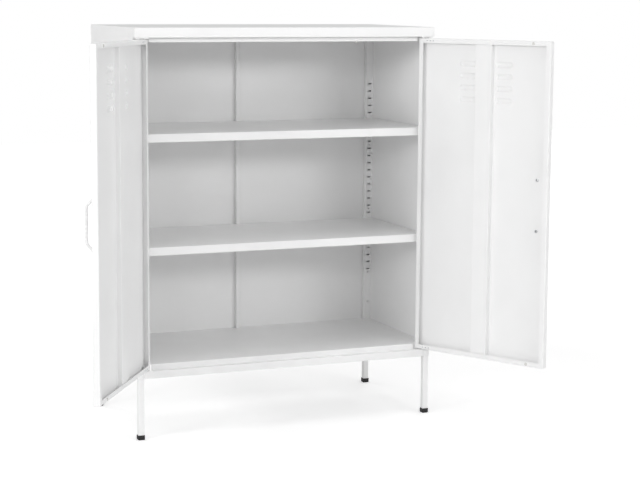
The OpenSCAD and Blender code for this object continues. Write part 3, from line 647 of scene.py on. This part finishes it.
# ---- Door stiffeners ----
# A hat-shaped strip, folded from 0.8 mm sheet, is spot welded down the middle of each door inside. It
# keeps the large flat sheet from drumming, and its two narrow feet lie flat against the door.
low, high = shut("stiffener")
strip_sheet = 0.8
strip_w = 48.0
strip_bend = 1.8
centre = (low.x + high.x) / 2
door_face = low.y
foot_top = door_face + strip_sheet
profile = [(low.x, foot_top), (centre - strip_w / 2, foot_top), (centre - strip_w / 2, high.y),
           (centre + strip_w / 2, high.y), (centre + strip_w / 2, foot_top), (high.x, foot_top)]
bm = bmesh.new()
line = [bm.verts.new((x, y, low.z)) for x, y in profile]
for start, end in zip(line, line[1:]):
    bm.edges.new((start, end))
drawn_out(bm, bm.edges[:], Vector((0, 0, high.z - low.z)))
round_over(bm, [e for e in bm.edges if len(e.link_faces) == 2], strip_bend, 4)
bmesh.ops.recalc_face_normals(bm, faces=bm.faces)
if facing(bm, INWARD).calc_area() < facing(bm, OUTWARD).calc_area():
    bmesh.ops.reverse_faces(bm, faces=bm.faces)
bmesh.ops.solidify(bm, geom=bm.faces[:], thickness=strip_sheet)
hang("stiffener_folded", bm, enamel, "white_enamel", "stiffener")

# ---- Handles ----
# Each handle is a zinc casting with a smooth white coat, a shade glossier than the doors. A round bar
# rises from two collars and slopes to a straight grip. A screw through the sheet holds it at each end.
handle_coat, tree = blank("glossy_white_cast_coat")
place = add(tree, "ShaderNodeTexCoord")
# Faint waves in a thick coat over a casting bend its highlights along the bar without breaking them
waves = add(tree, "ShaderNodeTexNoise", {"Scale": 1 / (7 * MM), "Detail": 1.0},
            {"Vector": place.outputs["Object"]})
tone = add(tree, "ShaderNodeValToRGB", {"stops": [(0.35, "eeeeee"), (0.65, "f3f3f3")]},
           {"Fac": waves.outputs["Fac"]})
gloss = add(tree, "ShaderNodeMapRange", {"To Min": 0.22, "To Max": 0.32}, {"Value": waves.outputs["Fac"]})
relief = add(tree, "ShaderNodeBump", {"Strength": 0.4, "Distance": 0.05 * MM},
             {"Height": waves.outputs["Fac"]})
skin = add(tree, "ShaderNodeBsdfPrincipled", {"IOR": 1.5},
           {"Base Color": tone.outputs["Color"], "Roughness": gloss.outputs["Result"],
            "Normal": relief.outputs["Normal"]})
add(tree, "ShaderNodeOutputMaterial", {}, {"Surface": skin.outputs["BSDF"]})

low, high = shut("handle")
bar_d = 8.0
collar_d = 10.4
collar = [(0, 0), (5.2, 0), (5.2, 1.9), (5.0, 2.4), (4.6, 2.6), (4.2, 2.65), (4.0, 2.8)]
# Each bend's radius and its angle in degrees: together they turn the bar through a right angle
bends = ((5.0, 49.2), (8.0, 40.8))
first_bend = 3.1
slope_l = 23.8
bar_x = (low.x + high.x) / 2
middle_z = (low.z + high.z) / 2
foot_z = low.z + collar_d / 2


def turned(outline, closed=False):
    """A round piece turned about Z from the radii and heights of its outline."""
    bm = bmesh.new()
    line = [bm.verts.new((radius, 0, height)) for radius, height in outline]
    for start, end in zip(line, line[1:] + line[:1] * closed):
        bm.edges.new((start, end))
    bmesh.ops.spin(bm, geom=bm.verts[:] + bm.edges[:], cent=(0, 0, 0), axis=UP, angle=2 * math.pi,
                   steps=32, use_merge=True)
    bmesh.ops.remove_doubles(bm, verts=bm.verts, dist=0.001)
    bmesh.ops.recalc_face_normals(bm, faces=bm.faces)
    return bm


half = turned(collar + [(bar_d / 2, first_bend)])
bmesh.ops.transform(half, matrix=Matrix.Translation((bar_x, high.y, foot_z)) @ FRONT, verts=half.verts)
end = [e for e in half.edges if e.is_boundary]
heading = OUTWARD
at = Vector((bar_x, high.y - first_bend, foot_z))
for (radius, degrees), run in zip(bends, (slope_l, None)):
    inner = Vector((0, heading.z, -heading.y))
    turn = Matrix.Rotation(math.radians(-degrees), 4, "X")
    made = bmesh.ops.spin(half, geom=end, cent=at + inner * radius, axis=(-1, 0, 0),
                          angle=math.radians(degrees), steps=8)["geom_last"]
    end = [e for e in made if isinstance(e, bmesh.types.BMEdge)]
    at = at + inner * radius + turn @ (-inner * radius)
    heading = turn @ heading
    run = run or middle_z - at.z
    end = drawn_out(half, end, heading * run)
    at = at + heading * run
bm = bmesh.new()
put(bm, half, Matrix.Identity(4))
put(bm, half, Matrix.Translation((0, 0, 2 * middle_z)) @ Matrix.Scale(-1, 4, UP))
bmesh.ops.remove_doubles(bm, verts=bm.verts, dist=0.01)
bmesh.ops.recalc_face_normals(bm, faces=bm.faces)
hang("handle_cast", bm, handle_coat, "white_handle", "handle")

screw_head_d = 8.0
screw_head_h = 2.4
screw_bite = 5.0
screw = pan_screw(screw_head_d, screw_head_h, M4, screw_bite + door_sheet)
low, high = shut("handle_screws")
bm = bmesh.new()
for z in (low.z + screw_head_d / 2, high.z - screw_head_d / 2):
    put(bm, screw, Matrix.Translation((bar_x, high.y - screw_head_h, z)) @ BACK)
hang("handle_screws_plated", bm, zinc, "zinc_plate", "handle_screws")

# ---- Door hinge plates, rivets and bushes ----
# A 2 mm steel angle inside each end of a door carries its pivot. Three plated blind rivets hold each
# angle to the door's rim, and a black nylon bush pressed through both turns on the body's pin.
for body in swings:
    side = body[:-len("door")]
    piece(side + "hinge_plates_pressed", bent(side + "hinge_plates", PLATE_BEND, PLATE), enamel, body,
          "white_enamel", side + "hinge_plates")

rivet_head_d = 3.6
rivet_head_h = 0.8
rivet_d = 2.4
rivet_insets = (26.0, 36.0, 45.0)
grip_l = 2.9
tail_h = 0.6
head_r = rivet_head_d / 2
body_r = rivet_d / 2
rivet = turned([(0, 0.25), (0.75, 0.25), (0.8, 0.7), (1.0, rivet_head_h), (1.4, 0.66), (1.7, 0.36),
                (head_r, 0), (body_r, 0), (body_r, -grip_l), (head_r, -grip_l), (1.7, -grip_l - 0.45),
                (1.3, -grip_l - tail_h), (0, -grip_l - tail_h)])
low, high = shut("hinge_rivets")
bm = bmesh.new()
for inset in rivet_insets:
    for z in (low.z + rivet_head_d / 2, high.z - rivet_head_d / 2):
        put(bm, rivet, Matrix.Translation((door_high.x - inset, high.y - rivet_head_h, z)) @ BACK)
hang("hinge_rivets_plated", bm, zinc, "zinc_plate", "hinge_rivets")

bore_r = 3.06
bush_r = 5.0
flange_r = 6.0
flange_t = 1.0
ease = 0.25
bush_l = door_sheet + PLATE
low, high = shut("bushes")
bush = turned([(bore_r + ease, -flange_t), (flange_r - ease, -flange_t), (flange_r, -flange_t + ease),
               (flange_r, 0), (bush_r, 0), (bush_r, bush_l - ease), (bush_r - ease, bush_l),
               (bore_r + ease, bush_l), (bore_r, bush_l - ease), (bore_r, -flange_t + ease)], closed=True)
middle = (low + high) / 2
bm = bmesh.new()
put(bm, bush, Matrix.Translation((middle.x, middle.y, low.z + flange_t)))
put(bm, bush, Matrix.Translation((middle.x, middle.y, high.z - flange_t)) @ OVER)
hang("bushes_moulded", bm, nylon, "black_plastic", "bushes")

# ---- Door pads ----
# Soft clear pads, cast as flat drops, are stuck near the free corners of each door's rim. They meet
# the header rail and the floor panel's lip, so that the sheet doesn't ring when a door is shut.
low, high = shut("door_buffers")
pad_d = high.x - low.x
bm = bmesh.new()
for z in (low.z + pad_d / 2, high.z - pad_d / 2):
    drop(bm, pad_d, high.y - low.y, Matrix.Translation(((low.x + high.x) / 2, low.y, z)) @ BACK)
hang("door_pads_cast", bm, pad, "clear_pad", "door_buffers")

# ---- Studio ----
# The cabinet stands on a plain white floor that runs into a white background. Long soft lamps stand
# round its front, so that its faces stay pale and its inside falls off to grey. One more hangs over it,
# and two stand behind it.
scene = bpy.context.scene
world = bpy.data.worlds.new("white_studio")
scene.world = world
world.use_nodes = True
tree = world.node_tree
tree.nodes.clear()
rays = add(tree, "ShaderNodeLightPath")
direct = add(tree, "ShaderNodeMath", {"operation": "MAXIMUM"},
             {0: rays.outputs["Is Camera Ray"], 1: rays.outputs["Is Transmission Ray"]})
surround = 0.43
strength = add(tree, "ShaderNodeMapRange", {"To Min": surround, "To Max": 1.0},
               {"Value": direct.outputs["Value"]})
backdrop = add(tree, "ShaderNodeBackground", {"Color": (1, 1, 1, 1)},
               {"Strength": strength.outputs["Result"]})
add(tree, "ShaderNodeOutputWorld", {}, {"Surface": backdrop.outputs["Background"]})

# Matt studio paper. It glows for the camera: faintly by the cabinet, whose shadow stays, and more further
# off, so that it runs into the white background without a line
floor_finish, tree = blank("white_seamless_paper")
place = add(tree, "ShaderNodeTexCoord")
near_glow = 0.32
far_glow = 0.9
fibre = add(tree, "ShaderNodeTexNoise", {"Scale": 1 / (120 * MM), "Detail": 2.0},
            {"Vector": place.outputs["Object"]})
tone = add(tree, "ShaderNodeValToRGB", {"stops": [(0.3, "f7f7f7"), (0.7, "f9f9f9")]},
           {"Fac": fibre.outputs["Fac"]})
paper = add(tree, "ShaderNodeBsdfDiffuse", {}, {"Color": tone.outputs["Color"]})
rays = add(tree, "ShaderNodeLightPath")
away = add(tree, "ShaderNodeVectorMath", {"operation": "LENGTH"}, {0: place.outputs["Object"]})
rising = add(tree, "ShaderNodeMapRange",
             {"From Min": 1.2, "From Max": 4.0, "To Min": near_glow, "To Max": far_glow},
             {"Value": away.outputs["Value"]})
lit = add(tree, "ShaderNodeMath", {"operation": "MULTIPLY"},
          {0: rising.outputs["Result"], 1: rays.outputs["Is Camera Ray"]})
glow = add(tree, "ShaderNodeEmission", {"Color": (1, 1, 1, 1)}, {"Strength": lit.outputs["Value"]})
both = add(tree, "ShaderNodeAddShader", {}, {0: paper.outputs["BSDF"], 1: glow.outputs["Emission"]})
add(tree, "ShaderNodeOutputMaterial", {}, {"Surface": both.outputs["Shader"]})
sheet = bmesh.new()
bmesh.ops.create_grid(sheet, x_segments=1, y_segments=1, size=8)
mesh = bpy.data.meshes.new("paper_floor")
sheet.to_mesh(mesh)
sheet.free()
mesh.materials.append(floor_finish)
floor = bpy.data.objects.new("paper_floor", mesh)
scene.collection.objects.link(floor)


def softbox(name, round_from_front, off, up, wide, high, power):
    """A soft rectangular lamp, turned round the cabinet from its front and aimed at its middle."""
    turn = math.radians(round_from_front)
    doorway_y = -0.2
    middle = Vector((0, -0.1, 0.55))
    at = Vector((off * math.sin(turn), doorway_y - off * math.cos(turn), up))
    light = bpy.data.lights.new(name, "AREA")
    light.shape = "RECTANGLE"
    light.size = wide
    light.size_y = high
    light.energy = power
    made = bpy.data.objects.new(name, light)
    made.location = at
    made.rotation_euler = (middle - at).to_track_quat("-Z", "Y").to_euler()
    scene.collection.objects.link(made)


softbox("far_left_softbox", -68, 5, 1.9, 1.6, 0.6, 66)
softbox("left_softbox", -40, 5, 1.9, 1.6, 0.6, 29)
softbox("right_softbox", 20, 5, 1.9, 1.6, 0.6, 33)
softbox("far_right_softbox", 40, 5, 1.9, 1.6, 0.6, 29)
softbox("overhead_softbox", 0, 0.4, 4.2, 2.5, 2.5, 24)
softbox("back_left_softbox", -150, 5, 3.6, 1.6, 1.2, 26)
softbox("back_right_softbox", 140, 5, 3.6, 1.6, 1.2, 26)

camera = bpy.data.cameras.new("camera")
camera.sensor_width = 36
camera.lens = 96.2
camera_stand = bpy.data.objects.new("camera", camera)
camera_stand.location = (-1.582, -4.170, 1.100)
yaw, tilt, roll = (math.radians(a) for a in (-22.77, 81.78, 0.4))
camera_stand.rotation_euler = (Matrix.Rotation(yaw, 3, "Z") @ Matrix.Rotation(tilt, 3, "X")
                               @ Matrix.Rotation(roll, 3, "Z")).to_euler()
scene.collection.objects.link(camera_stand)
scene.camera = camera_stand
scene.view_settings.view_transform = "Standard"
